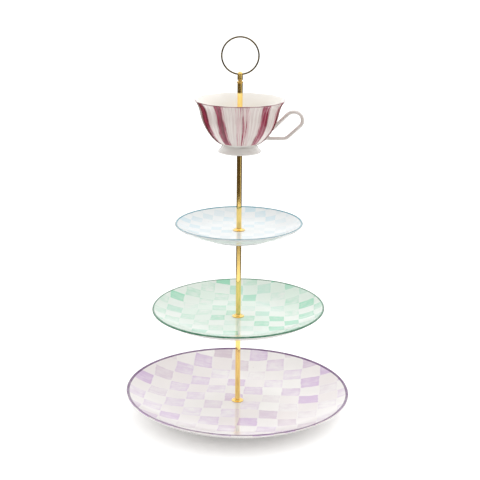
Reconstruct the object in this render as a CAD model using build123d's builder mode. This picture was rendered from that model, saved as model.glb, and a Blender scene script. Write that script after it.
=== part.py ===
"""Tiered cake stand: three coupe plates and a footed teacup, clamped in line on a brass spindle.

The frame stands on the floor: +Z is up the spindle, the origin is on the spindle's axis at floor level,
-Y is the front, and the teacup's handle points to +X. All sizes are in millimetres.
"""

from math import atan2, degrees, radians, sqrt, tan
import os

from build123d import *

os.makedirs("parts", exist_ok=True)

# ---------------------------------------------------------------- driving dimensions

# China tiers, from the floor up
TIERS = ("base", "middle", "upper")
plate_radius = {"base": 133.5, "middle": 101.5, "upper": 74.0}
plate_depth = {"base": 17.2, "middle": 13.6, "upper": 10.3}  # well to rim
plate_wall = {"base": 3.6, "middle": 3.4, "upper": 3.2}  # under the well
plate_lip = {"base": 2.4, "middle": 2.2, "upper": 2.0}  # thickness at the rim
well_radius = {"base": 67.0, "middle": 50.0, "upper": 36.0}  # flat middle of the well
foot_radius = {"base": 76.0, "middle": 57.0, "upper": 41.0}  # outside of the foot ring
foot_width = {"base": 5.5, "middle": 5.0, "upper": 4.5}
foot_recess = {"base": 6.2, "middle": 4.6, "upper": 4.2}  # foot ring below the underside
foot_rounding = 1.1
foot_taper = 0.12  # narrowing of the foot ring on each face, per height
lip_inset, lip_drop = 0.5, 0.8  # where the lip's two edges stand, in lip thicknesses
lip_rounding = 0.35  # in lip thicknesses

# Teacup, heights from its own foot
cup_height = 59.6
cup_rim_radius = 51.0
cup_shoulder = (44.6, 44.0)  # radius and height where the bowl turns out to the lip
cup_neck = (19.5, 8.6)  # radius and height of the waist above the foot
cup_foot_pulls = (-2.6, 2.0), (0.8, -3.2)  # the foot's curve: off its edge and off the neck
cup_neck_pull = (10.1, 2.9)  # the bowl's outside, off the neck
cup_floor_pull = (15.5, 0.0)  # the bowl's inside, off the flat floor
cup_belly_pull = (-3.3, -17.0)  # the bowl, off the shoulder
cup_flare_pull = (0.97, 5.0)  # the lip, off the shoulder
cup_lip_pull = (-3.6, -3.6)  # the lip, off the rim
cup_foot_radius = 24.6
cup_foot_edge = (0.6, 1.2)  # set-back and height of the foot's edge
cup_foot_wall = 3.2
cup_recess_wall = 4.0  # at the waist
cup_recess = 7.8  # foot below the cup's underside
cup_floor = 3.2  # thickness of the cup's bottom
cup_floor_radius = 13.0  # flat middle of the cup's inside
cup_wall = 2.1
cup_lip = 1.4
handle_width = 4.8  # across the handle
handle_thickness = 3.6  # in the handle's plane
handle_root = (36.6, 26.0)  # upper end, inside the wall
handle_top_height = 45.9
handle_reach = 70.8  # centreline, out from the cup's axis
handle_elbow_height = 33.8  # where the grip turns in towards the cup
handle_heel = (52.6, 15.6)  # where the grip turns level
handle_heel_root = 28.0  # lower end, inside the wall
handle_slope = 45.0  # rise of the upper arm, degrees
handle_bends = (7.0, 7.0, 8.0, 6.0)

# Brass spindle
china_hole_radius = 3.0
rod_radius = 3.0
rod_length = {"base": 100.0, "middle": 98.0, "upper": 96.0}
post_length = 65.0  # from the cup's flange to the ring eye
thread_radius = 2.0
thread_clearance = 0.05
thread_grip = 8.0  # length of thread inside the next piece
thread_run_out = 2.5  # bore beyond the stud's tip
thread_lead = 0.4
rod_chamfer = 0.3
shank_clearance = 0.2  # washers on the stud

# Washers and flanges
flange_radius = 7.0
flange_height = 2.4
flange_edge = 0.7
flange_seat = 0.9  # ledge outside the rod on top of the flange
flange_flare_pulls = (0.5, -1.2), (-1.4, 0.15)  # the flare: off the ledge and off the edge
glaze_gap = 0.1  # flange's rim above the glaze
soft_top_radius = 4.9
soft_top_thickness = 1.1
soft_pocket_play = 0.2  # round the soft washer inside the flange
soft_under_radius = 6.5
soft_under_thickness = 1.0
support_radius = 7.0
support_thickness = 1.0
base_washer_radius = 9.0
washer_edge = 0.25  # rounding of the brass washers
soft_edge = 0.15  # rounding of the soft ones
screw_head_radius = 4.0
screw_head_height = 2.6
screw_head_rounding = 1.2
screw_slot = (3.4, 0.8, 1.2)  # length, width and depth of each arm of the cross recess

# Ring handle
ring_radius = 20.7  # centreline
ring_wire_radius = 0.9
ring_play = 0.5  # between the wire and the eye's hole
collar_radius = 3.6
collar_height = 1.6
collar_rounding = 0.5
eye_neck_radius = 2.2
eye_neck_height = 1.4
eye_radius = 3.0
eye_height = 9.5

# ---------------------------------------------------------------- heights up the spindle

under_stack = support_thickness + soft_under_thickness
underside = {"base": foot_recess["base"]}
rod_bottom = {}
for tier, next_tier in zip(TIERS, (*TIERS[1:], "cup")):
    rod_bottom[tier] = underside[tier] + plate_wall[tier] + flange_height
    underside[next_tier] = rod_bottom[tier] + rod_length[tier] + under_stack

cup_foot_level = underside["cup"] - cup_recess
cup_floor_level = underside["cup"] + cup_floor
post_bottom = cup_floor_level + flange_height
post_top = post_bottom + post_length
eye_bottom = post_top + collar_height + eye_neck_height
eye_hole_radius = ring_wire_radius + ring_play
ring_pivot_level = eye_bottom + eye_height - eye_radius


# ---------------------------------------------------------------- helpers


def dish_arc(start, end):
    """Arc that leaves start level, outwards, and rises to end."""
    span = Vector(*end) - Vector(*start)
    radius = (span.X**2 + span.Y**2) / (2 * span.Y)
    return JernArc(start, (1, 0), radius, degrees(atan2(span.X, radius - span.Y)))


def corner(sketch, radius, height):
    """The corner of a section nearest to a radius and height."""
    return sketch.vertices().sort_by_distance((radius, height, 0))[0]


def save(part, label):
    """Names a finished piece and writes its STEP file."""
    part.label = label
    export_step(part, f"parts/{label}.step")


# ---------------------------------------------------------------- china


def make_plate(tier):
    """Coupe plate: a flat well, a rim that rises in one arc, and a foot ring."""
    rim, wall, lip = plate_radius[tier], plate_wall[tier], plate_lip[tier]
    foot, width, recess = foot_radius[tier], foot_width[tier], foot_recess[tier]
    under = underside[tier]
    well = under + wall
    top = well + plate_depth[tier]
    floor = under - recess
    taper = foot_taper * recess
    inner_lip, outer_lip = (rim - lip_inset * lip, top), (rim, top - lip_drop * lip)
    with BuildPart() as plate:
        with BuildSketch(Plane.XZ) as section:
            with BuildLine():
                Line((china_hole_radius, well), (well_radius[tier], well))
                dish_arc((well_radius[tier], well), inner_lip)
                Line(inner_lip, outer_lip)
                dish_arc((foot, under), outer_lip)
                Polyline(
                    (foot, under),
                    (foot - taper, floor),
                    (foot - width + taper, floor),
                    (foot - width, under),
                    (china_hole_radius, under),
                    (china_hole_radius, well),
                )
            make_face()
            fillet([corner(section, *point) for point in (inner_lip, outer_lip)], lip_rounding * lip)
            fillet([corner(section, r, under) for r in (foot, foot - width)], foot_rounding)
            fillet([corner(section, r, floor) for r in (foot - taper, foot - width + taper)], foot_rounding)
        revolve(axis=Axis.Z)
    save(plate.part, f"{tier}_plate")


def pulled_curve(start, start_pull, end_pull, end):
    """Bezier curve whose control points are given as offsets from its ends."""
    Bezier(start, Vector(*start) + Vector(*start_pull), Vector(*end) + Vector(*end_pull), end)


def bowl_curves(inset, start, start_pull, rim):
    """One face of the cup's bowl from start up to the rim, inset from the outside face."""
    shoulder = (cup_shoulder[0] - inset, cup_shoulder[1] + cup_foot_level)
    pulled_curve(start, start_pull, cup_belly_pull, shoulder)
    pulled_curve(shoulder, cup_flare_pull, cup_lip_pull, rim)


def make_cup():
    """Footed teacup with a flared lip and an ear handle, in one piece of china."""
    level = cup_foot_level
    bevel = cup_lip / sqrt(2)
    rim_out = (cup_rim_radius, level + cup_height - bevel)
    rim_in = (cup_rim_radius - bevel, level + cup_height)
    neck = (cup_neck[0], cup_neck[1] + level)
    foot_edge = (cup_foot_radius, level + cup_foot_edge[1])
    floor_edge = (cup_floor_radius, cup_floor_level)
    with BuildPart() as cup:
        with BuildSketch(Plane.XZ):
            with BuildLine():
                Polyline((0, level), (cup_foot_radius - cup_foot_edge[0], level), foot_edge)
                pulled_curve(foot_edge, *cup_foot_pulls, neck)
                bowl_curves(0, neck, cup_neck_pull, rim_out)
                Polyline(rim_out, rim_in, (0, rim_in[1]), (0, level))
            make_face()
        revolve(axis=Axis.Z)

        arm_run = (handle_top_height - handle_root[1]) / tan(radians(handle_slope))
        with BuildLine(Plane.XZ) as grip:
            FilletPolyline(
                (handle_root[0], level + handle_root[1]),
                (handle_root[0] + arm_run, level + handle_top_height),
                (handle_reach, level + handle_top_height),
                (handle_reach, level + handle_elbow_height),
                (handle_heel[0], level + handle_heel[1]),
                (handle_heel_root, level + handle_heel[1]),
                radius=handle_bends,
            )
        start = grip.line @ 0
        with BuildSketch(Plane(origin=start, x_dir=(0, 1, 0), z_dir=grip.line % 0)):
            Ellipse(handle_width / 2, handle_thickness / 2)
        sweep(path=grip.line)

        with BuildSketch(Plane.XZ):
            with BuildLine():
                Line((0, cup_floor_level), floor_edge)
                bowl_curves(cup_wall, floor_edge, cup_floor_pull, rim_in)
                Polyline(rim_in, (0, rim_in[1]), (0, cup_floor_level))
            make_face()
        revolve(axis=Axis.Z, mode=Mode.SUBTRACT)

        with BuildSketch(Plane.XZ):
            with BuildLine():
                Polyline(
                    (0, level),
                    (cup_foot_radius - cup_foot_wall, level),
                    (cup_neck[0] - cup_recess_wall, underside["cup"]),
                    (0, underside["cup"]),
                    close=True,
                )
            make_face()
        revolve(axis=Axis.Z, mode=Mode.SUBTRACT)

        with BuildSketch(Plane.XY.offset(underside["cup"])):
            Circle(china_hole_radius)
        extrude(amount=cup_floor, mode=Mode.SUBTRACT)
    save(cup.part, "tea_cup")


# ---------------------------------------------------------------- spindle


def make_washer(label, bottom, thickness, radius, edge):
    """Flat washer with broken edges, loose on the stud."""
    hole_radius = thread_radius + shank_clearance
    with BuildPart() as washer:
        with BuildSketch(Plane.XY.offset(bottom)):
            Circle(radius)
            Circle(hole_radius, mode=Mode.SUBTRACT)
        extrude(amount=thickness)
        rims = washer.edges().filter_by(GeomType.CIRCLE).filter_by(lambda e: e.radius > hole_radius + 0.01)
        fillet(rims, edge)
    save(washer.part, label)


def make_flange(label, bottom):
    """Turned brass flange that the rod above stands on, hollowed underneath for a soft washer."""
    hole = thread_radius + shank_clearance
    shoulder = rod_radius + flange_seat
    pocket = soft_top_radius + soft_pocket_play
    low = bottom + glaze_gap
    ledge, edge = (shoulder, bottom + flange_height), (flange_radius, low + flange_edge)
    with BuildPart() as flange:
        with BuildSketch(Plane.XZ):
            with BuildLine():
                Line((hole, bottom + flange_height), ledge)
                pulled_curve(ledge, *flange_flare_pulls, edge)
                Polyline(
                    edge,
                    (flange_radius, low),
                    (pocket, low),
                    (pocket, bottom + soft_top_thickness),
                    (hole, bottom + soft_top_thickness),
                    (hole, bottom + flange_height),
                )
            make_face()
        revolve(axis=Axis.Z)
    save(flange.part, label)


def make_rod(label, bottom, length, stud_length):
    """Brass rod with a threaded bore below and, where stud_length isn't 0, a threaded stud above."""
    top = bottom + length
    bore = thread_radius + thread_clearance
    depth = thread_grip + thread_run_out
    with BuildPart() as rod:
        with BuildSketch(Plane.XY.offset(bottom)):
            Circle(rod_radius)
        extrude(amount=length)
        chamfer(rod.edges().filter_by(GeomType.CIRCLE), rod_chamfer)
        with BuildSketch(Plane.XY.offset(bottom)):
            Circle(bore)
        extrude(amount=depth, mode=Mode.SUBTRACT)
        if stud_length:
            with BuildSketch(Plane.XY.offset(top)):
                Circle(thread_radius)
            extrude(amount=stud_length)
            chamfer(rod.faces().sort_by(Axis.Z)[-1].edges(), thread_lead)
        else:
            with BuildSketch(Plane.XY.offset(top - depth)):
                Circle(bore)
            extrude(amount=depth, mode=Mode.SUBTRACT)
    save(rod.part, label)


def make_base_screw():
    """Pan-head screw that closes the stack from below."""
    head_top = underside["base"] - under_stack
    shank = under_stack + plate_wall["base"] + flange_height + thread_grip
    slot_length, slot_width, slot_depth = screw_slot
    with BuildPart() as screw:
        with BuildSketch(Plane.XY.offset(head_top)):
            Circle(screw_head_radius)
        extrude(amount=-screw_head_height)
        fillet(screw.faces().sort_by(Axis.Z)[0].edges(), screw_head_rounding)
        with BuildSketch(Plane.XY.offset(head_top)):
            Circle(thread_radius)
        extrude(amount=shank)
        chamfer(screw.faces().sort_by(Axis.Z)[-1].edges(), thread_lead)
        with BuildSketch(Plane.XY.offset(head_top - screw_head_height)):
            Rectangle(slot_length, slot_width)
            Rectangle(slot_width, slot_length)
        extrude(amount=slot_depth, mode=Mode.SUBTRACT)
    save(screw.part, "base_screw")


def make_ring_eye():
    """Eye for the ring: a collar on the post, a short neck and a round-ended head bored across."""
    collar_top = post_top + collar_height
    with BuildPart() as eye:
        with BuildSketch(Plane.XY.offset(post_top)):
            Circle(collar_radius)
        extrude(amount=collar_height)
        fillet(eye.edges().filter_by(GeomType.CIRCLE), collar_rounding)
        with BuildSketch(Plane.XY.offset(collar_top)):
            Circle(eye_neck_radius)
        extrude(amount=eye_neck_height)
        with BuildSketch(Plane.XZ):
            with BuildLine():
                shoulder = eye_radius - eye_neck_radius
                foot_line = Line((0, eye_bottom), (eye_neck_radius, eye_bottom))
                round_in = TangentArc(foot_line @ 1, (eye_radius, eye_bottom + shoulder), tangent=(1, 0))
                side = Line(round_in @ 1, (eye_radius, ring_pivot_level))
                dome = TangentArc(side @ 1, (0, ring_pivot_level + eye_radius), tangent=(0, 1))
                Line(dome @ 1, (0, eye_bottom))
            make_face()
        revolve(axis=Axis.Z)
        with BuildSketch(Plane.YZ):
            with Locations((0, ring_pivot_level)):
                Circle(eye_hole_radius)
        extrude(amount=2 * eye_radius, both=True, mode=Mode.SUBTRACT)
        with BuildSketch(Plane.XY.offset(post_top)):
            Circle(thread_radius)
        extrude(amount=-thread_grip)
        chamfer(eye.faces().sort_by(Axis.Z)[0].edges(), thread_lead)
    save(eye.part, "ring_eye")


def make_ring():
    """Closed wire ring, standing up from the eye."""
    centre = ring_pivot_level + ring_radius
    with BuildPart() as ring:
        with BuildSketch(Plane.XY.offset(centre)):
            with Locations((ring_radius, 0)):
                Circle(ring_wire_radius)
        revolve(axis=Axis((0, 0, centre), (0, 1, 0)))
    save(ring.part, "ring_handle")


# ---------------------------------------------------------------- assembly

for tier in TIERS:
    make_plate(tier)
make_cup()

china_wall = {**plate_wall, "cup": cup_floor}
support = {tier: support_radius for tier in china_wall} | {"base": base_washer_radius}
for tier, wall in china_wall.items():
    below, above = underside[tier], underside[tier] + wall
    soft = below - soft_under_thickness
    make_washer(f"{tier}_support_washer", below - under_stack, support_thickness, support[tier], washer_edge)
    make_washer(f"{tier}_under_cushion", soft, soft_under_thickness, soft_under_radius, soft_edge)
    make_washer(f"{tier}_top_cushion", above, soft_top_thickness, soft_top_radius, soft_edge)
    make_flange(f"{tier}_flange", above)

for tier, next_tier in zip(TIERS, (*TIERS[1:], "cup")):
    stud = under_stack + china_wall[next_tier] + flange_height + thread_grip
    make_rod(f"{tier}_rod", rod_bottom[tier], rod_length[tier], stud)
make_rod("cup_post", post_bottom, post_length, 0)
make_base_screw()
make_ring_eye()
make_ring()
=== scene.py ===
"""Looks of a tiered cake stand: painted china plates and a striped teacup on a polished brass spindle.

Lengths are in metres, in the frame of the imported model, unless a class says millimetres: +Z runs up the
spindle from the floor, -Y is the front and the teacup's handle points to +X.
"""

import logging
import math
import random
from collections.abc import Callable
from dataclasses import dataclass, field
from enum import Enum

import bmesh
import bpy
from bpy.types import Material, NodeSocket, NodeTree, Object, World
from mathutils import Euler, Matrix, Vector


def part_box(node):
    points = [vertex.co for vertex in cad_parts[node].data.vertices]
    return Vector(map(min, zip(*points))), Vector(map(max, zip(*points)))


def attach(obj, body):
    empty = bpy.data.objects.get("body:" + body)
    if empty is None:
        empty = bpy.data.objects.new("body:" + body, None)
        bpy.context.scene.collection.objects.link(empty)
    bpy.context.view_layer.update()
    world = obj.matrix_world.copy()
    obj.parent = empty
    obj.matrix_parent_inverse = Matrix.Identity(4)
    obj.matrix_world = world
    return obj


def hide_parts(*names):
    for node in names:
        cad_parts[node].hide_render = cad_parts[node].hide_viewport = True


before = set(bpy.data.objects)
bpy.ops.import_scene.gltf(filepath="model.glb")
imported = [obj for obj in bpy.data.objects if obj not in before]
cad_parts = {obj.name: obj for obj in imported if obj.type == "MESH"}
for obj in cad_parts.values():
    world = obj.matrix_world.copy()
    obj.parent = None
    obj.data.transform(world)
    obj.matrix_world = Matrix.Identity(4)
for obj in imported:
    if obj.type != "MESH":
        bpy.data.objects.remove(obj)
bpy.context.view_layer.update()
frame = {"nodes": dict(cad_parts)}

log = logging.getLogger("cake_stand")
MM = 0.001

Colour = tuple[float, float, float]
Place = tuple[float, float, float]
Point = tuple[float, float]


# ---- shader arithmetic


class Wire:
    """Output of a shader node that takes part in Python arithmetic."""

    def __init__(self, tree: NodeTree, socket: NodeSocket) -> None:
        """Keeps the tree and the socket."""
        self.tree = tree
        self.socket = socket

    def math(self, operation: str, *terms: "Term") -> "Wire":
        """Adds a Math node.

        Args:
            operation: the Math node's operation.
            terms: its operands, in order.

        Returns:
            The node's output.
        """
        node = self.tree.nodes.new("ShaderNodeMath")
        node.operation = operation
        for entry, term in zip(node.inputs, terms):
            plug(self.tree, entry, term)
        return Wire(self.tree, node.outputs[0])

    def __add__(self, other: "Term") -> "Wire":
        """Sum."""
        return self.math("ADD", self, other)

    __radd__ = __add__

    def __sub__(self, other: "Term") -> "Wire":
        """Difference."""
        return self.math("SUBTRACT", self, other)

    def __rsub__(self, other: "Term") -> "Wire":
        """Difference, taken from other."""
        return self.math("SUBTRACT", other, self)

    def __mul__(self, other: "Term") -> "Wire":
        """Product."""
        return self.math("MULTIPLY", self, other)

    __rmul__ = __mul__

    def __truediv__(self, other: "Term") -> "Wire":
        """Quotient."""
        return self.math("DIVIDE", self, other)

    def __rtruediv__(self, other: "Term") -> "Wire":
        """Quotient of other by this."""
        return self.math("DIVIDE", other, self)

    def __pow__(self, other: "Term") -> "Wire":
        """Power."""
        return self.math("POWER", self, other)

    def __mod__(self, other: "Term") -> "Wire":
        """Remainder with the sign of other."""
        return self.math("FLOORED_MODULO", self, other)

    def __abs__(self) -> "Wire":
        """Size without sign."""
        return self.math("ABSOLUTE", self)

    def floor(self) -> "Wire":
        """Largest whole number not above this."""
        return self.math("FLOOR", self)

    def root(self) -> "Wire":
        """Square root."""
        return self.math("SQRT", self)

    def least(self, other: "Term") -> "Wire":
        """Smaller of the two."""
        return self.math("MINIMUM", self, other)

    def most(self, other: "Term") -> "Wire":
        """Larger of the two."""
        return self.math("MAXIMUM", self, other)

    def step(self, low: "Term", high: "Term") -> "Wire":
        """Smooth step.

        Args:
            low: the value that gives 0.
            high: the value that gives 1; it may be below low.

        Returns:
            A value that turns smoothly from 0 to 1.
        """
        node = self.tree.nodes.new("ShaderNodeMapRange")
        node.interpolation_type = "SMOOTHSTEP"
        for entry, term in zip(node.inputs, (self, low, high, 0.0, 1.0)):
            plug(self.tree, entry, term)
        return Wire(self.tree, node.outputs[0])


Term = Wire | float
Entry = Wire | float | tuple[float, ...]


def plug(tree: NodeTree, entry: NodeSocket, value: Entry) -> None:
    """Links or sets a node's input.

    Args:
        tree: the node tree.
        entry: the input socket.
        value: a wire to link, or a constant to set.
    """
    if isinstance(value, Wire):
        tree.links.new(value.socket, entry)
    elif isinstance(value, tuple) and len(value) < len(entry.default_value):
        entry.default_value = (*value, 1.0)
    else:
        entry.default_value = value


class Mixer:
    """Node tree of one finish, with the nodes that the finishes share."""

    MIX_SHARE, MIX_FIRST, MIX_SECOND, MIX_RESULT = 0, 6, 7, 2

    def __init__(self, owner: Material | World) -> None:
        """Empties a node tree and keeps it.

        Args:
            owner: the material or world that the tree belongs to.
        """
        owner.use_nodes = True
        self.owner = owner
        self.tree = owner.node_tree
        self.tree.nodes.clear()

    def node(
        self, kind: str, settings: dict[str, object], inputs: dict[str | int, Entry], output: str | int = 0
    ) -> Wire:
        """Adds any node.

        Args:
            kind: the node's type, without the prefix ShaderNode.
            settings: properties that are set first.
            inputs: values or wires by socket name or number.
            output: the output to return.

        Returns:
            The chosen output.
        """
        made = self.tree.nodes.new("ShaderNode" + kind)
        for name, value in settings.items():
            setattr(made, name, value)
        for name, value in inputs.items():
            plug(self.tree, made.inputs[name], value)
        return Wire(self.tree, made.outputs[output])

    def place(self) -> Wire:
        """Position on the piece, in metres."""
        return self.node("TexCoord", {}, {}, "Object")

    def normal(self) -> Wire:
        """Normal of the surface, which turns with its piece."""
        return self.node("TexCoord", {}, {}, "Normal")

    def split(self, vector: Wire) -> tuple[Wire, Wire, Wire]:
        """The three parts of a vector."""
        parts = self.node("SeparateXYZ", {}, {0: vector})
        return tuple(Wire(self.tree, out) for out in parts.socket.node.outputs)

    def join(self, x: Term, y: Term, z: Term) -> Wire:
        """A vector from its three parts."""
        return self.node("CombineXYZ", {}, {0: x, 1: y, 2: z})

    def reach(self, x: Wire, y: Wire) -> Wire:
        """Distance from the spindle."""
        return (x * x + y * y).root()

    def bearing(self, x: Wire, y: Wire) -> Wire:
        """Angle from the front towards the handle, in radians."""
        return x.math("ARCTAN2", x, y * -1.0)

    def noise(self, vector: Wire, scale: float = 1.0, detail: float = 2.0, roughness: float = 0.5) -> Wire:
        """Smooth noise about 0.5, with scale cycles per unit of the vector and detail octaves."""
        inputs = {"Vector": vector, "Scale": scale, "Detail": detail, "Roughness": roughness}
        return self.node("TexNoise", {}, inputs)

    def chance(self, vector: Wire) -> Wire:
        """An even random value from 0 to 1 for each vector."""
        return self.node("TexWhiteNoise", {}, {"Vector": vector})

    def blend(self, share: Term, first: Entry, second: Entry) -> Wire:
        """Colour between two: the first at a share of 0, the second at 1."""
        inputs = {self.MIX_SHARE: share, self.MIX_FIRST: first, self.MIX_SECOND: second}
        return self.node("Mix", {"data_type": "RGBA"}, inputs, self.MIX_RESULT)

    def bump(self, height: Wire, depth: float, strength: float) -> Wire:
        """Surface normal raised by a height, which stands depth metres proud where it is 1."""
        return self.node("Bump", {}, {"Strength": strength, "Distance": depth, "Height": height}, "Normal")

    def surface(self, inputs: dict[str | int, Entry]) -> None:
        """Ends the tree in a Principled shader, with its inputs by socket name."""
        self.end(self.node("BsdfPrincipled", {}, inputs))

    def layer(self, share: Wire, first: Wire, second: Wire) -> Wire:
        """Mixes two shaders."""
        return self.node("MixShader", {}, {0: share, 1: first, 2: second})

    def end(self, shader: Wire, kind: str = "OutputMaterial") -> None:
        """Links a shader to the output node of a kind."""
        output = self.tree.nodes.new("ShaderNode" + kind)
        self.tree.links.new(shader.socket, output.inputs["Surface"])


def tint(red: int, green: int, blue: int) -> Colour:
    """Linear colour of a paint chart value, whose channels run from 0 to 255."""
    chart = [channel / 255 for channel in (red, green, blue)]
    return tuple(c / 12.92 if c <= 0.04045 else ((c + 0.055) / 1.055) ** 2.4 for c in chart)


# ---- finishes


@dataclass(frozen=True)
class Glaze:
    """Clear glaze over white china, left off the foot ring's sole."""

    sole: float
    # As it stands this clay is used only on the teacup's foot, where it is darker than the bowl's china as
    # painted shade.
    clay: Colour = tint(230, 227, 223)
    cloud_lift: float = 1.06
    bare: Colour = tint(214, 205, 192)
    bare_grit: Colour = tint(228, 221, 210)
    bare_rise: Point = (0.5 * MM, 0.2 * MM)
    speck: Colour = tint(150, 138, 124)
    speck_gaps: float = 48.0
    speck_edge: Point = (0.034, 0.012)
    speck_cover: float = 0.5
    roughness: float = 0.07
    relief_depth: float = 0.06 * MM
    relief_share: float = 0.6

    def plain(self, m: Mixer) -> Wire:
        """China colour with the slight clouding of a hand-dipped glaze.

        Args:
            m: the finish's node tree.

        Returns:
            The colour.
        """
        clouds = m.noise(m.place(), scale=22.0, detail=3.0)
        lifted = tuple(channel * self.cloud_lift for channel in self.clay)
        return m.blend(clouds.step(0.3, 0.75), self.clay, lifted)

    def fire(self, m: Mixer, colour: Wire, paint: Wire) -> Material:
        """Covers a painted surface with the glaze.

        Args:
            m: the finish's node tree.
            colour: the painted colour.
            paint: thickness of the paint, from 0 to 1.

        Returns:
            The finished material.
        """
        place = m.place()
        _, _, height = m.split(place)
        glazed, unglazed = (self.sole + rise for rise in self.bare_rise)
        bare = height.step(glazed, unglazed)
        peel = m.noise(place, scale=210.0, roughness=0.4)
        ripple = m.noise(place, scale=45.0, roughness=0.4)
        grit = m.noise(place, scale=1400.0, roughness=0.6)
        smears = m.noise(place, scale=30.0, detail=4.0, roughness=0.65)
        gaps = m.node("TexVoronoi", {}, {"Vector": place, "Scale": self.speck_gaps}, "Distance")
        specks = gaps.step(*self.speck_edge)
        colour = m.blend(specks * self.speck_cover, colour, self.speck)
        colour = m.blend(bare, colour, m.blend(grit, self.bare, self.bare_grit))
        roughness = self.roughness + smears.step(0.35, 0.8) * 0.09 + paint * 0.05 + bare * 0.5
        relief = peel * 0.35 + ripple * 0.5 + paint * 0.25 + specks * -0.3 + grit * bare
        m.surface({
            "Base Color": colour,
            "Roughness": roughness,
            "IOR": 1.5,
            "Coat Weight": (1.0 - bare) * 0.35,
            "Coat Roughness": 0.03,
            "Normal": m.bump(relief, self.relief_depth, self.relief_share),
        })
        return m.owner


@dataclass(frozen=True)
class Checks:
    """Hand-painted checks over a plate, with a line round the rim; sizes in millimetres."""

    name: str
    cell: float
    turn: float
    shift: Point
    paint: Colour
    dull: Colour
    ground: Colour
    clay: Colour
    line: Colour
    line_span: Point
    weight: float
    seed: float
    sway: float = 0.3
    sway_cells: float = 0.55
    line_wander: float = 1.1
    inner_edge: float = 0.25
    outer_edge: float = 0.2

    def rim_line(self, m: Mixer, place: Wire, facing: Wire, rim: float) -> Wire:
        """Line round the rim, which wanders and thins.

        Args:
            m: the finish's node tree.
            place: position on the plate.
            facing: how far the surface faces up, from -1 to 1.
            rim: the plate's radius, in metres.

        Returns:
            Thickness of its paint, from 0 to 1.
        """
        x, y, _ = m.split(place)
        radius = m.reach(x, y)
        wander = (m.noise(place, scale=35.0, detail=3.0) - 0.5) * self.line_wander * MM
        start, end = (rim - inset * MM for inset in self.line_span)
        soft, crisp = self.inner_edge * MM, self.outer_edge * MM
        inner = (radius + wander * 0.6).step(start - soft, start + soft)
        outer = (radius + wander * 0.3).step(end + crisp, end - crisp)
        thinned = (0.7 + m.noise(place, scale=130.0, detail=3.0) * 0.5).least(1.0)
        return inner * outer * thinned * facing.step(-0.6, -0.35)

    def make(self, rim: float, sole: float) -> Material:
        """Paints the checks and glazes them.

        Args:
            rim: the plate's radius, in metres.
            sole: height of the foot ring's sole, in metres.

        Returns:
            The material.
        """
        m = Mixer(bpy.data.materials.new(self.name))
        glaze = Glaze(sole, self.clay)
        place = m.place()
        x, y, _ = m.split(place)
        _, _, facing = m.split(m.normal())
        cell = self.cell * MM
        sway_scale = self.sway_cells / cell
        sway = m.node("TexNoise", {}, {"Vector": place, "Scale": sway_scale, "Detail": 2.0}, "Color")
        sway_x, sway_y, _ = m.split(sway)
        hand = self.sway * cell
        east = x + (sway_x - 0.5) * hand
        north = y + (sway_y - 0.5) * hand
        turn = math.radians(self.turn)
        shift_u, shift_v = (part * MM for part in self.shift)
        u = (east * math.cos(turn) + north * math.sin(turn) - shift_u) / cell
        v = (north * math.cos(turn) - east * math.sin(turn) - shift_v) / cell
        column = u.floor()
        row = v.floor()
        across = u - column
        up = v - row
        taken = 1.0 - (column + row) % 2.0
        load = m.chance(m.join(column, row, self.seed))
        mood = m.chance(m.join(column, row, self.seed + 5.0))
        border = across.least(1.0 - across).least(up.least(1.0 - up))
        edge = mood * 0.02 - 0.005 + (m.noise(place, scale=260.0) - 0.5) * 0.08
        square = taken * border.step(edge - 0.02, edge + 0.045)
        bristles = m.noise(m.join(u * 1.1, v * 9.0, mood * 7.0), detail=4.0, roughness=0.6)
        puddle = m.noise(m.join(u, v, mood * 9.0), scale=1.7, detail=3.0, roughness=0.55)
        pooled = border.step(0.16, 0.02) * 0.16
        loaded = 0.18 + load * 0.45 + load * load * 0.45
        depth = loaded + (bristles - 0.5) * 0.85 + (puddle - 0.5) * 1.1 + pooled
        wash = square * depth.most(0.03).least(1.0) * self.weight
        ground = m.blend((1.0 - taken) * mood * 0.5, glaze.plain(m), self.ground)
        hue = m.blend(mood.step(0.45, 0.95), self.paint, self.dull)
        upper = facing.step(0.05, 0.25)
        painted = m.blend(upper, glaze.plain(m), m.blend(wash, ground, hue))
        line = self.rim_line(m, place, facing, rim)
        return glaze.fire(m, m.blend(line, painted, self.line), (wash * upper + line).least(1.0))


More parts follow.
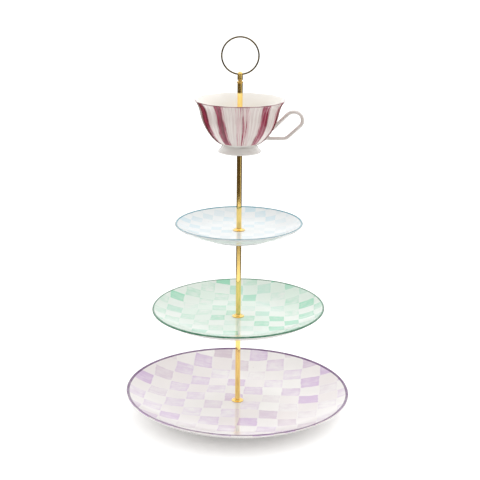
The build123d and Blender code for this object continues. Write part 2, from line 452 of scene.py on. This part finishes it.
@dataclass(frozen=True)
class Stripes:
    """Brushed stripes down the outside of a cup, with a line round the lip."""

    name: str
    count: int
    first: float
    width: float
    paint: Colour
    deep: Colour
    thin: Colour
    line: Colour
    bare: Colour = tint(246, 238, 233)
    wash: Colour = tint(222, 205, 201)
    inside: Colour = tint(248, 245, 240)
    cover: float = 0.97
    line_cover: float = 0.85

    def make(self, level: float, neck: float, lip: float) -> Material:
        """Paints the stripes and glazes them.

        Args:
            level: height of the foot's sole, in metres.
            neck: height of the neck above the foot, in metres.
            lip: height of the lip, in metres.

        Returns:
            The material.
        """
        m = Mixer(bpy.data.materials.new(self.name))
        glaze = Glaze(level)
        place = m.place()
        x, y, z = m.split(place)
        pitch = math.tau / self.count
        sway = (m.noise(place, scale=42.0) - 0.5) * 0.26
        angle = m.bearing(x, y)
        along = (angle - math.radians(self.first)) / pitch + 0.5 + sway
        stripe = along.floor()
        number = stripe % float(self.count)
        t = along - stripe - 0.5
        load = m.chance(m.join(number, 3.0, 1.0))
        rise = (z - neck) / (lip - neck)
        spread = self.width * (0.8 + 0.35 * load) * (1.25 - 0.25 * rise.step(0.0, 0.8))
        fray = m.noise(m.join(angle * 60.0, z * 45.0, 2.0), detail=3.0, roughness=0.6) - 0.5
        waver = m.noise(m.join(angle * 9.0, z * 30.0, 5.0)) - 0.5
        body = (abs(t) + fray * 0.34 + waver * 0.26).step(spread + 0.06, spread - 0.06)
        core = m.noise(m.join(angle * 13.0, z * 16.0, number * 2.0))
        bristles = m.noise(m.join(angle * 40.0, z * 22.0, number), detail=4.0, roughness=0.6)
        worn = number.math("COMPARE", number, 0.0, 0.5)
        depth = 0.5 + load * 0.4 + (core - 0.5) * 1.9 + (bristles - 0.5) * 1.1 - worn * 0.7
        depth = (depth - (t / spread) ** 2.0 * 0.3).most(0.0).least(1.0)
        ends = rise.step(0.035, 0.08) * rise.step(1.02, 0.985)
        east, north, _ = m.split(m.normal())
        outward = (east * x + north * y) / m.reach(x, y)
        outside = outward.step(-0.1, 0.2) * ends
        gaps = m.noise(m.join(angle * 36.0, z * 24.0, 11.0), detail=3.0, roughness=0.6)
        # Painted shade: below the neck the foot keeps the darker plain clay, while the bowl's inside takes
        # the lighter inside colour.
        bowl = m.blend(rise.step(0.01, 0.04) * (1.0 - outside), glaze.plain(m), self.inside)
        ground = m.blend(outside, bowl, m.blend(gaps.step(0.35, 0.7), self.bare, self.wash))
        full = m.blend(depth.step(0.45, 0.95), self.paint, self.deep)
        hue = m.blend(depth.step(0.05, 0.42), self.thin, full)
        laid = body * outside * (0.45 + depth.step(0.0, 0.3) * 0.55)
        laid = laid * (1.0 - worn * bristles.step(0.56, 0.44))
        colour = m.blend(laid * self.cover, ground, hue)
        near_lip = rise + (m.noise(place, scale=60.0) - 0.5) * 0.012
        line = near_lip.step(0.974, 0.984) * outward.step(0.0, 0.3)
        colour = m.blend(line * self.line_cover, colour, self.line)
        return glaze.fire(m, colour, (laid + line).least(1.0))


class Grain(Enum):
    """Run of the finest marks in a metal's surface."""

    DRAWN = "along the spindle"
    TURNED = "round the spindle"
    ROLLED = "every way"


@dataclass(frozen=True)
class Brass:
    """Polished and lacquered brass."""

    name: str
    grain: Grain
    colour: Colour = (1.0, 0.72, 0.24)
    tarnish: Colour = (0.66, 0.36, 0.08)
    roughness: float = 0.05
    mark_depth: float = 0.012 * MM
    mark_share: float = 0.5

    def make(self) -> Material:
        """Mixes the metal with its marks and tarnish.

        Returns:
            The material.
        """
        m = Mixer(bpy.data.materials.new(self.name))
        place = m.place()
        x, y, z = m.split(place)
        if self.grain is Grain.DRAWN:
            run = m.join(x * 1100.0, y * 1100.0, z * 35.0)
        elif self.grain is Grain.TURNED:
            run = m.join(m.reach(x, y) * 2600.0, 0.0, z * 2600.0)
        else:
            run = m.join(x * 800.0, y * 800.0, z * 800.0)
        marks = m.noise(run, detail=3.0, roughness=0.6)
        clouds = m.noise(place, scale=60.0, detail=4.0, roughness=0.6)
        spots = m.noise(place, scale=520.0)
        dull = clouds.step(0.5, 0.8) * 0.25 + spots.step(0.66, 0.8) * 0.4
        m.surface({
            "Base Color": m.blend(dull, self.colour, self.tarnish),
            "Metallic": 1.0,
            "Roughness": self.roughness + marks.step(0.4, 0.8) * 0.08 + dull * 0.16,
            "Coat Weight": 0.1,
            "Coat Roughness": 0.05,
            "Normal": m.bump(marks * 0.7 + spots * 0.3, self.mark_depth, self.mark_share),
        })
        return m.owner


@dataclass(frozen=True)
class SoftWasher:
    """Milky silicone of the soft washers."""

    name: str = "soft_washer"
    colour: Colour = tint(226, 220, 205)
    grime: Colour = tint(168, 156, 134)
    pore_depth: float = 0.02 * MM
    pore_share: float = 0.7

    def make(self) -> Material:
        """Mixes the silicone with the grime in its pores.

        Returns:
            The material.
        """
        m = Mixer(bpy.data.materials.new(self.name))
        place = m.place()
        clouds = m.noise(place, scale=160.0, detail=4.0, roughness=0.6)
        pores = m.noise(place, scale=2200.0, roughness=0.6)
        worn = clouds.step(0.45, 0.75) * 0.5 + pores.step(0.6, 0.75) * 0.3
        m.surface({
            "Base Color": m.blend(worn, self.colour, self.grime),
            "Roughness": 0.42 + pores * 0.2 + worn * 0.1,
            "Normal": m.bump(pores * 0.5 + clouds * 0.5, self.pore_depth, self.pore_share),
        })
        return m.owner


@dataclass(frozen=True)
class MattWhite:
    """Matt white of the floor, which glows faintly so that it stays white."""

    name: str = "studio_floor"
    low: Colour = (0.93, 0.93, 0.93)
    high: Colour = (0.97, 0.97, 0.97)
    glow: float = 0.15

    def make(self) -> Material:
        """Mixes the white with a fine mottle.

        Returns:
            The material.
        """
        m = Mixer(bpy.data.materials.new(self.name))
        mottle = m.noise(m.place(), scale=400.0, detail=3.0)
        m.surface({
            "Base Color": m.blend(mottle, self.low, self.high),
            "Roughness": 0.95,
            "Specular IOR Level": 0.0,
            "Emission Color": (1.0, 1.0, 1.0),
            "Emission Strength": self.glow,
        })
        return m.owner


Mask = Callable[[Wire, Wire], Wire]


@dataclass(frozen=True)
class Felt:
    """Dark felt in places, clear elsewhere and from below so that the floor keeps its light."""

    name: str
    mask: Mask
    low: Colour = (0.06, 0.045, 0.03)
    high: Colour = (0.09, 0.07, 0.045)

    def make(self) -> Material:
        """Mixes the felt and masks it.

        Returns:
            The material.
        """
        m = Mixer(bpy.data.materials.new(self.name))
        place = m.place()
        x, y, _ = m.split(place)
        above = 1.0 - m.node("NewGeometry", {}, {}, "Backfacing")
        shade = self.mask(m.reach(x, y), m.bearing(x, y)) * above
        fibres = m.blend(m.noise(place, scale=60.0, detail=3.0), self.low, self.high)
        inputs = {"Base Color": fibres, "Roughness": 1.0, "Specular IOR Level": 0.0}
        clear = m.node("BsdfTransparent", {}, {})
        m.end(m.layer(shade, clear, m.node("BsdfPrincipled", {}, inputs)))
        return m.owner


# ---- outlines and meshes


@dataclass(frozen=True)
class Corner:
    """One point of an outline, in millimetres, with the length that rounding takes off each side."""

    out: float
    up: float
    cut: float = 0.0


def level_arc(start: Point, end: Point, count: int) -> list[Corner]:
    """Arc that leaves its start level.

    Args:
        start: where it leaves.
        end: where it arrives.
        count: points to give.

    Returns:
        Points from start to end, both included.
    """
    out, up = end[0] - start[0], end[1] - start[1]
    radius = (out * out + up * up) / (2 * up)
    sweep = 2 * math.atan2(up, out)
    angles = (sweep * step / (count - 1) for step in range(count))
    return [Corner(start[0] + radius * math.sin(a), start[1] + radius * (1 - math.cos(a))) for a in angles]


def pulled_curve(start: Point, pull: Point, end_pull: Point, end: Point, count: int) -> list[Corner]:
    """Curve drawn out by a pull at each end.

    Args:
        start: where it starts.
        pull: its first control point, from start.
        end_pull: its second control point, from end.
        end: where it ends.
        count: points to give.

    Returns:
        Points from start to end, both included.
    """
    a, d = Vector(start), Vector(end)
    b, c = a + Vector(pull), d + Vector(end_pull)
    points = []
    for step in range(count):
        t = step / (count - 1)
        s = 1 - t
        spot = a * s**3 + b * 3 * s * s * t + c * 3 * s * t * t + d * t**3
        points.append(Corner(spot.x, spot.y))
    return points


def rounded(outline: list[Corner], count: int = 6, room: float = 0.48) -> list[Point]:
    """Rounds an outline's corners.

    Args:
        outline: closed outline.
        count: points along each rounding.
        room: most of a side that one rounding takes.

    Returns:
        Points of the rounded outline.
    """
    points = []
    for index, corner in enumerate(outline):
        here = Vector((corner.out, corner.up))
        if not corner.cut:
            points.append((here.x, here.y))
            continue
        ends = []
        for other in (outline[index - 1], outline[(index + 1) % len(outline)]):
            side = Vector((other.out, other.up)) - here
            ends.append(here + side.normalized() * min(corner.cut, side.length * room))
        for step in range(count):
            t = step / (count - 1)
            spot = ends[0] * (1 - t) ** 2 + here * 2 * t * (1 - t) + ends[1] * t * t
            points.append((spot.x, spot.y))
    return points


Bend = Callable[[float, float, float], Point]


def turned(name: str, outline: list[Point], segments: int, bend: Bend) -> Object:
    """Turns a closed outline round the spindle.

    Args:
        name: the piece's name.
        outline: radius and height of its points, in millimetres.
        segments: steps round the spindle.
        bend: gives the radius and height of a point from its radius, height and angle.

    Returns:
        The piece.
    """
    vertices = []
    for step in range(segments):
        angle = math.tau * step / segments
        for radius, height in outline:
            out, up = bend(radius, height, angle)
            vertices.append((out * math.sin(angle) * MM, -out * math.cos(angle) * MM, up * MM))
    size = len(outline)
    faces = []
    for step in range(segments):
        near, far = step * size, (step + 1) % segments * size
        for index in range(size):
            after = (index + 1) % size
            faces.append((near + index, far + index, far + after, near + after))
    return as_piece(name, vertices, faces)


def as_piece(name: str, vertices: list[Place], faces: list[tuple[int, ...]]) -> Object:
    """Makes a smooth mesh with its faces turned outwards.

    Args:
        name: the piece's name.
        vertices: corners, in metres.
        faces: their numbers, face by face.

    Returns:
        The piece, in the scene.
    """
    mesh = bpy.data.meshes.new(name)
    mesh.from_pydata(vertices, [], faces)
    shell = bmesh.new()
    shell.from_mesh(mesh)
    bmesh.ops.recalc_face_normals(shell, faces=shell.faces)
    for face in shell.faces:
        face.smooth = True
    shell.to_mesh(mesh)
    shell.free()
    piece = bpy.data.objects.new(name, mesh)
    bpy.context.scene.collection.objects.link(piece)
    return piece


# ---- plates


@dataclass
class CoupePlate:
    """Rimless plate on a foot ring, bored in the middle; sizes in millimetres."""

    tier: str
    well: float
    wall: float
    lip: float
    foot: float
    foot_width: float
    recess: float
    checks: Checks
    seed: int
    lean: Point = (0.0, 0.0)
    hole: float = 3.0
    bore_round: float = 0.3
    warp_turns: tuple[int, ...] = (2, 3, 5)
    warp_out: float = 0.18
    warp_up: float = 0.3
    segments: int = 256
    well_steps: int = 12
    arc_points: int = 34
    below_steps: int = 8
    rim: float = field(init=False)
    top: float = field(init=False)
    sole: float = field(init=False)
    waves: list[tuple[int, float, float]] = field(init=False)

    def __post_init__(self) -> None:
        """Takes the plate's reach from the frame and draws its waves."""
        low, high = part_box(f"{self.tier}_plate")
        self.rim, self.top, self.sole = high.x / MM, high.z / MM, low.z / MM
        dice = random.Random(self.seed)
        self.waves = []
        for turns in self.warp_turns:
            self.waves.append((turns, dice.uniform(0, math.tau), dice.uniform(0.4, 1.0) / turns))

    def outline(self) -> list[Point]:
        """Closed section of the plate, over its face and back below.

        Returns:
            Radius and height of its points.
        """
        underside = self.sole + self.recess
        floor = underside + self.wall
        draft = 0.12 * self.recess
        inner = self.foot - self.foot_width
        edge = self.rim + 0.1 * self.lip
        lip_round = 0.4 * self.lip
        face = [Corner(self.hole, floor, self.bore_round)]
        for step in range(1, self.well_steps):
            face.append(Corner(self.hole + (self.well - self.hole) * step / self.well_steps, floor))
        face += level_arc((self.well, floor), (edge - 0.5 * self.lip, self.top), self.arc_points)
        back = level_arc((self.foot, underside), (edge, self.top - 0.8 * self.lip), self.arc_points)
        back.reverse()
        face[-1] = Corner(face[-1].out, face[-1].up, lip_round)
        back[0] = Corner(back[0].out, back[0].up, lip_round)
        foot = [
            Corner(self.foot, underside, 0.7),
            Corner(self.foot - draft, self.sole, 1.1),
            Corner(inner + draft, self.sole, 1.1),
            Corner(inner, underside, 1.3),
        ]
        below = []
        for step in range(1, self.below_steps):
            below.append(Corner(inner - (inner - self.hole) * step / self.below_steps, underside))
        return rounded(face + back[:-1] + foot + below + [Corner(self.hole, underside, self.bore_round)])

    def warp(self, radius: float, height: float, angle: float) -> Point:
        """Slight unevenness of a thrown and fired plate, true in the middle.

        Args:
            radius: distance from the spindle.
            height: height in the row frame.
            angle: angle from the front towards the handle.

        Returns:
            Radius and height after firing.
        """
        share = max(0.0, (radius - self.foot) / (self.rim - self.foot)) ** 1.5
        wave = sum(size * math.sin(turns * angle + phase) for turns, phase, size in self.waves)
        lean = self.lean[0] * math.sin(angle) + self.lean[1] * math.cos(angle)
        return radius + share * self.warp_out * wave, height + share * (self.warp_up * wave + lean)

    def build(self) -> None:
        """Makes the plate, dresses it and puts it on its body."""
        plate = turned(f"{self.tier}_plate_china", self.outline(), self.segments, self.warp)
        plate.data.materials.append(self.checks.make(self.rim * MM, self.sole * MM))
        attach(plate, f"{self.tier}_tier")
        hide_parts(f"{self.tier}_plate")
        log.info("%s: %d faces, rim %.1f mm", plate.name, len(plate.data.polygons), self.rim)


# ---- teacup


@dataclass
class Teacup:
    """Footed teacup with a scalloped lip and an ear handle; sizes in millimetres above the foot's sole."""

    node: str = "tea_cup"
    body: str = "cup_tier"
    slot: str = "cup_china"
    height: float = 59.6
    rim: float = 51.0
    lip: float = 1.4
    wall: float = 2.1
    shoulder: Point = (44.6, 44.0)
    neck: Point = (19.5, 8.6)
    foot: float = 24.6
    foot_edge: Point = (0.6, 1.2)
    foot_pulls: tuple[Point, Point] = ((-2.6, 2.0), (0.8, -3.2))
    neck_pull: Point = (10.1, 2.9)
    floor_pull: Point = (15.5, 0.0)
    belly_pull: Point = (-3.3, -17.0)
    flare_pull: Point = (0.97, 5.0)
    lip_pull: Point = (-3.6, -3.6)
    foot_wall: float = 3.2
    recess_radius: float = 15.5
    recess: float = 7.8
    floor_level: float = 11.0
    floor_radius: float = 13.0
    hole: float = 3.0
    flutes: int = 11
    flute_depth: float = 0.35
    flute_start: float = 0.08
    flute_fade: float = 0.5
    scallop: float = 0.18
    first_flute: float = 4.0
    segments: int = 264
    bowl_points: int = 34
    flare_points: int = 16
    foot_points: int = 14
    grip_top: tuple[Point, ...] = ((36.6, 26.0), (56.5, 45.9), (70.8, 45.9))
    grip_bottom: tuple[Point, ...] = ((70.8, 32.6), (52.6, 15.6), (28.0, 15.6))
    grip_bends: tuple[float, ...] = (11.0, 9.6, 8.6, 9.0)
    grip_width: float = 5.1
    grip_thickness: float = 3.9
    grip_step: float = 0.45
    grip_sides: int = 36
    bend_steps: int = 12
    root_flare: float = 2.6
    root_share: float = 0.8
    root_sink: float = 0.7
    root_end: float = 0.9
    level: float = field(init=False)

    def __post_init__(self) -> None:
        """Takes the foot's level from the frame."""
        self.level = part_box(self.node)[0].z / MM

    def bowl(self, inset: float, start: Point, pull: Point, rim: Point) -> list[Corner]:
        """One face of the bowl.

        Args:
            inset: distance from the outside face.
            start: its lowest point.
            pull: the curve's pull there.
            rim: its highest point.

        Returns:
            Points from start to rim.
        """
        shoulder = (self.shoulder[0] - inset, self.shoulder[1])
        lower = pulled_curve(start, pull, self.belly_pull, shoulder, self.bowl_points)
        return lower + pulled_curve(shoulder, self.flare_pull, self.lip_pull, rim, self.flare_points)[1:]

    def outside(self) -> list[Corner]:
        """Outside face of the bowl, from the neck up."""
        bevel = self.lip / math.sqrt(2)
        return self.bowl(0.0, self.neck, self.neck_pull, (self.rim, self.height - bevel))

    def outline(self) -> list[Point]:
        """Closed section of the bowl and foot.

        Returns:
            Radius and height of its points, in the row frame.
        """
        bevel = self.lip / math.sqrt(2)
        setback, edge = self.foot_edge
        floor = (self.floor_radius, self.floor_level)
        inside = self.bowl(self.wall, floor, self.floor_pull, (self.rim - bevel, self.height))
        inside.reverse()
        outside = self.outside()
        outside[-1] = Corner(outside[-1].out, outside[-1].up, 0.5)
        inside[0] = Corner(inside[0].out, inside[0].up, 0.5)
        section = [
            Corner(self.hole, self.recess, 0.3),
            Corner(9.0, self.recess),
            Corner(self.recess_radius, self.recess, 1.2),
            Corner(self.foot - self.foot_wall, 0.0, 0.6),
            Corner(self.foot - setback, 0.0, 0.5),
            Corner(self.foot, edge, 0.5),
        ]
        section += pulled_curve((self.foot, edge), *self.foot_pulls, self.neck, self.foot_points)[1:-1]
        section += outside + inside
        section += [Corner(8.0, self.floor_level), Corner(self.hole, self.floor_level, 0.3)]
        return [(out, up + self.level) for out, up in rounded(section)]

    def press(self, radius: float, height: float, angle: float) -> Point:
        """Flutes and scallops that the mould leaves.

        Args:
            radius: distance from the spindle.
            height: height in the row frame.
            angle: angle from the front towards the handle.

        Returns:
            Radius and height of the fluted point.
        """
        rise = (height - self.level - self.neck[1]) / (self.height - self.neck[1])
        share = min(max((rise - self.flute_start) / self.flute_fade, 0.0), 1.0)
        share *= share * (3 - 2 * share)
        if radius < self.floor_radius + 2:
            share = 0.0
        wave = math.cos(self.flutes * (angle - math.radians(self.first_flute)))
        tip = max(0.0, (rise - 0.7) / 0.3) ** 2
        return radius + self.flute_depth * share * wave, height + self.scallop * tip * wave

    def depth_at(self, spot: Vector, skin: list[Vector]) -> tuple[float, Vector]:
        """How far a point stands off the bowl.

        Args:
            spot: the point, in millimetres, with height above the sole.
            skin: the bowl's outside, as radius and height.

        Returns:
            The distance, below 0 inside the wall, and the outward normal there.
        """
        angle = math.atan2(spot.x, -spot.y)
        reach = math.hypot(spot.x, spot.y)
        fluted = self.press(reach, spot.z + self.level, angle)[0] - reach
        flat = Vector((reach - fluted, spot.z))
        best = None
        for first, second in zip(skin, skin[1:]):
            side = second - first
            share = min(max((flat - first).dot(side) / side.length_squared, 0.0), 1.0)
            foot = first + side * share
            gap = (flat - foot).length
            if best is None or gap < best[0]:
                outward = Vector((side.y, -side.x)).normalized()
                best = (gap, outward, (flat - foot).dot(outward))
        gap, outward, sign = best
        normal = Vector((outward.x * spot.x / reach, outward.x * spot.y / reach, outward.y))
        return math.copysign(gap, sign), normal

    def grip_line(self) -> list[tuple[Vector, Vector]]:
        """Centre line of the handle.

        Returns:
            Points and directions from the upper root to the lower one, in the cup's middle plane.
        """
        corners = [Vector(corner) for corner in self.grip_top + self.grip_bottom]
        path = [corners[0]]
        for index, bend in enumerate(self.grip_bends, start=1):
            back = (corners[index - 1] - corners[index]).normalized()
            on = (corners[index + 1] - corners[index]).normalized()
            half = back.angle(on) / 2
            centre = corners[index] + (back + on).normalized() * bend / math.sin(half)
            start = corners[index] + back * bend / math.tan(half)
            turn = math.pi - 2 * half
            side = 1 if back.x * on.y - back.y * on.x > 0 else -1
            spoke = start - centre
            for step in range(self.bend_steps + 1):
                angle = -side * turn * step / self.bend_steps
                cosine, sine = math.cos(angle), math.sin(angle)
                swung = (spoke.x * cosine - spoke.y * sine, spoke.x * sine + spoke.y * cosine)
                path.append(centre + Vector(swung))
        path.append(corners[-1])
        return self.evenly(path, self.grip_step)

    @staticmethod
    def evenly(path: list[Vector], step: float) -> list[tuple[Vector, Vector]]:
        """Spaces points evenly along a path.

        Args:
            path: the path's points.
            step: distance between the new ones.

        Returns:
            Points and directions.
        """
        lengths = [0.0]
        for first, second in zip(path, path[1:]):
            lengths.append(lengths[-1] + (second - first).length)
        count = round(lengths[-1] / step)
        spots, index = [], 0
        for number in range(count + 1):
            target = lengths[-1] * number / count
            while index < len(path) - 2 and lengths[index + 1] < target:
                index += 1
            side = path[index + 1] - path[index]
            share = (target - lengths[index]) / max(side.length, 1e-9)
            spots.append(path[index] + side * share)
        runs = []
        for number, spot in enumerate(spots):
            ahead = spots[min(number + 1, count)] - spots[max(number - 1, 0)]
            runs.append((spot, ahead.normalized()))
        return runs

    def handle(self, name: str) -> Object:
        """Ear handle whose roots flow into the bowl.

        Args:
            name: the piece's name.

        Returns:
            The handle.
        """
        skin = [Vector((corner.out, corner.up)) for corner in self.outside()]
        sides = self.grip_sides
        rings = []
        for spot, run in self.grip_line():
            centre = Vector((spot.x, 0.0, spot.y))
            if self.depth_at(centre, skin)[0] < -self.root_end:
                continue
            inward = Vector((-run.y, 0.0, run.x))
            ring = []
            for side in range(sides):
                angle = math.tau * side / sides
                arm = inward * math.cos(angle) * self.grip_thickness / 2
                arm += Vector((0.0, 1.0, 0.0)) * math.sin(angle) * self.grip_width / 2
                corner = centre + arm
                gap = self.depth_at(corner, skin)[0]
                if gap < self.root_flare:
                    lack = 1.0 - max(gap, 0.0) / self.root_flare
                    swell = 1.0 - math.sqrt(1.0 - lack * lack)
                    corner += arm.normalized() * self.root_flare * swell * self.root_share
                    moved, normal = self.depth_at(corner, skin)
                    corner += normal * (max(gap, -self.root_sink) - moved)
                ring.append(corner)
            rings.append(ring)
        vertices = [(c.x * MM, c.y * MM, (c.z + self.level) * MM) for ring in rings for c in ring]
        faces = []
        for number in range(len(rings) - 1):
            for side in range(sides):
                after = (side + 1) % sides
                low, high = number * sides, (number + 1) * sides
                faces.append((low + side, low + after, high + after, high + side))
        faces.append(tuple(range(sides)))
        faces.append(tuple(range(len(vertices) - sides, len(vertices))))
        return as_piece(name, vertices, faces)

    def build(self) -> None:
        """Makes the cup, dresses it and puts it on its body."""
        bowl = turned("teacup_bowl", self.outline(), self.segments, self.press)
        stripes = Stripes(
            name="striped_china",
            count=self.flutes,
            first=self.first_flute,
            width=0.25,
            paint=tint(150, 12, 62),
            deep=tint(98, 0, 34),
            thin=tint(198, 106, 130),
            line=tint(128, 66, 78),
        )
        heights = (self.level, self.level + self.neck[1], self.level + self.height)
        bowl.data.materials.append(stripes.make(*(height * MM for height in heights)))
        handle = self.handle("teacup_handle")
        # Painted shade: the handle's china gets a greyer clay than the bowl's, standing in for the shade on
        # the thin handle.
        m = Mixer(bpy.data.materials.new("handle_china_painted_shade"))
        glaze = Glaze(self.level * MM, clay=tint(222, 214, 209))
        handle.data.materials.append(glaze.fire(m, glaze.plain(m), m.noise(m.place(), scale=90.0) * 0.2))
        for piece in (bowl, handle):
            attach(piece, self.body)
            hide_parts(self.node)
            log.info("%s: %d faces", piece.name, len(piece.data.polygons))


# ---- spindle and ring


@dataclass
class Spindle:
    """Brass rods, flanges, washers, screw, eye and ring, and the soft washers between them."""

    tiers: tuple[str, ...] = ("base", "middle", "upper", "cup")
    rods: tuple[str, ...] = ("base_rod", "middle_rod", "upper_rod", "cup_post")

    def dress(self, nodes: dict[str, Object]) -> None:
        """Gives each piece its finish.

        Args:
            nodes: the frame's pieces by name.
        """
        rod = Brass("drawn_brass", Grain.DRAWN).make()
        fitting = Brass("turned_brass", Grain.TURNED, (0.88, 0.61, 0.19)).make()
        washer = Brass("satin_brass", Grain.TURNED, roughness=0.24).make()
        # Painted dark reflection: the ring's brass and tarnish colours are near black, standing in for the
        # dark surroundings that the thin wire mirrors.
        ring = Brass("brass_painted_dark", Grain.ROLLED, (0.14, 0.1, 0.035), (0.06, 0.036, 0.012)).make()
        soft = SoftWasher().make()
        finishes = {name: rod for name in self.rods}
        finishes |= {"base_screw": fitting, "ring_eye": fitting, "ring_handle": ring}
        for tier in self.tiers:
            finishes[f"{tier}_flange"] = fitting
            finishes[f"{tier}_support_washer"] = washer
            finishes[f"{tier}_under_cushion"] = soft
            finishes[f"{tier}_top_cushion"] = soft
        for name, finish in finishes.items():
            nodes[name].material_slots[0].material = finish
            log.info("%s: %s", name, finish.name)


# ---- studio


@dataclass
class Studio:
    """White floor, soft light, dark cloths and the camera; lengths in metres."""

    floor_reach: float = 40.0
    cloth_reach: float = 14.0
    wall: Colour = (1.0, 1.0, 1.0)
    wall_in_front: Colour = (0.14, 0.12, 0.1)
    wall_light: float = 1.26
    key_place: Place = (1.1, 0.35, 1.8)
    key_aim: Place = (0.0, 0.0, 0.2)
    key_size: float = 1.4
    key_power: float = 3.5
    camera_place: Place = (0.0014, -1.3129, 0.590)
    camera_dip: float = 16.09
    camera_roll: float = 0.5
    lens: float = 88.3
    sensor: float = 36.0

    @staticmethod
    def sheet(name: str, reach: float, height: float, finish: MattWhite | Felt) -> Object:
        """Lays a flat square about the stand.

        Args:
            name: its name.
            reach: half its side.
            height: its height.
            finish: its finish.

        Returns:
            The square.
        """
        sides = ((-reach, -reach), (reach, -reach), (reach, reach), (-reach, reach))
        square = as_piece(name, [(x, y, height) for x, y in sides], [(0, 1, 2, 3)])
        square.data.materials.append(finish.make())
        return square

    def hang_lights(self) -> None:
        """Lights the room, darker in front, and hangs the key light."""
        scene = bpy.context.scene
        scene.view_settings.view_transform = "Standard"
        scene.world = bpy.data.worlds.new("studio")
        m = Mixer(scene.world)
        _, away, rise = m.split(m.node("TexCoord", {}, {}, "Generated"))
        in_front = (away * -1.0).step(-0.35, 0.5) * rise.step(0.7, 0.15)
        pale = m.node("Background", {}, {"Color": self.wall, "Strength": self.wall_light})
        dark = m.node("Background", {}, {"Color": self.wall_in_front, "Strength": self.wall_light})
        blank = m.node("Background", {}, {"Color": self.wall, "Strength": 1.0})
        seen = m.node("LightPath", {}, {}, "Is Camera Ray")
        m.end(m.layer(seen, m.layer(in_front, pale, dark), blank), "OutputWorld")
        light = bpy.data.lights.new("key", "AREA")
        light.size = self.key_size
        light.energy = self.key_power
        lamp = bpy.data.objects.new("key", light)
        lamp.location = self.key_place
        aim = Vector(self.key_aim) - Vector(self.key_place)
        lamp.rotation_euler = aim.to_track_quat("-Z", "Y").to_euler()
        scene.collection.objects.link(lamp)

    def lay_cloths(self) -> None:
        """Lays dark cloth in front of the stand, and cloth round it that only gloss mirrors."""
        front = self.sheet("front_cloth", self.cloth_reach, 0.002, Felt("front_cloth", self.front_mask))
        round_it = self.sheet("round_cloth", self.cloth_reach, 0.001, Felt("round_cloth", self.round_mask))
        round_it.visible_diffuse = False
        for cloth in (front, round_it):
            cloth.visible_camera = False
            cloth.visible_shadow = False
            cloth.visible_transmission = False

    @staticmethod
    def front_mask(away: Wire, bearing: Wire) -> Wire:
        """Where the front cloth is dark.

        Args:
            away: distance from the spindle, in metres.
            bearing: angle from the front towards the handle, in radians.

        Returns:
            1 where it is dark.
        """
        # A pale strip on the right and a pale band across give the brass its bright lines.
        strip = bearing.step(0.8, 0.9) * bearing.step(1.2, 1.1) * away.step(0.95, 1.1)
        band = away.step(0.86, 0.92) * away.step(1.03, 0.99)
        reach = away.step(0.45, 0.85) * away.step(2.95, 2.85)
        return reach * abs(bearing).step(1.35, 1.25) * (1.0 - band * 0.85) * (1.0 - strip * 0.8)

    @staticmethod
    def round_mask(away: Wire, bearing: Wire) -> Wire:
        """Where the cloth at the sides and behind is dark, from 0 to 1."""
        return abs(bearing).step(1.25, 1.35) * away.step(0.4, 0.6)

    def place_camera(self) -> None:
        """Stands the camera in front, a little above the cup."""
        data = bpy.data.cameras.new("camera")
        data.lens, data.sensor_width = self.lens, self.sensor
        camera = bpy.data.objects.new("camera", data)
        camera.location = self.camera_place
        level = Euler((math.radians(90.0 - self.camera_dip), 0.0, 0.0)).to_matrix()
        camera.rotation_euler = (level @ Matrix.Rotation(math.radians(self.camera_roll), 3, "Z")).to_euler()
        bpy.context.scene.collection.objects.link(camera)
        bpy.context.scene.camera = camera

    def build(self) -> None:
        """Sets up the floor, the lights, the cloths and the camera."""
        self.sheet("studio_floor", self.floor_reach, 0.0, MattWhite())
        self.hang_lights()
        self.lay_cloths()
        self.place_camera()


# ---- assembly


def plates() -> list[CoupePlate]:
    """Describes the three plates.

    Returns:
        The plates, from the bottom up.
    """
    lilac = Checks(
        name="lilac_checks", cell=22.9, turn=-4.75, shift=(5.7, 20.0), weight=0.8, seed=3.0,
        paint=tint(196, 160, 206), dull=tint(206, 186, 200), ground=tint(222, 208, 210),
        clay=tint(235, 232, 230), line=tint(96, 48, 106), line_span=(3.7, 0.5),
    )
    green = Checks(
        name="green_checks", cell=17.4, turn=-2.5, shift=(2.2, 19.7), weight=0.78, seed=8.0,
        paint=tint(116, 206, 166), dull=tint(168, 216, 196), ground=tint(200, 228, 210),
        clay=tint(222, 228, 221), line=tint(26, 110, 74), line_span=(2.3, -1.0),
    )
    aqua = Checks(
        name="aqua_checks", cell=12.4, turn=-2.25, shift=(4.7, 12.4), weight=0.62, seed=5.0,
        paint=tint(180, 212, 224), dull=tint(196, 216, 222), ground=tint(226, 232, 232),
        clay=tint(218, 222, 223), line=tint(48, 134, 150), line_span=(2.5, 0.4),
    )
    base = CoupePlate(
        "base", checks=lilac, seed=11, lean=(-1.8, 0.4),
        well=67.0, wall=3.6, lip=2.4, foot=76.0, foot_width=5.5, recess=6.2,
    )
    middle = CoupePlate(
        "middle", checks=green, seed=12, lean=(1.3, -1.3),
        well=50.0, wall=3.4, lip=2.2, foot=57.0, foot_width=5.0, recess=4.6,
    )
    upper = CoupePlate(
        "upper", checks=aqua, seed=13, lean=(0.6, 0.0),
        well=36.0, wall=3.2, lip=2.0, foot=41.0, foot_width=4.5, recess=4.2,
    )
    return [base, middle, upper]


def main() -> None:
    """Builds the stand and its studio."""
    logging.basicConfig(level=logging.INFO, format="%(message)s")
    for plate in plates():
        plate.build()
    Teacup().build()
    Spindle().dress(frame["nodes"])
    Studio().build()


if __name__ == "__main__":
    main()
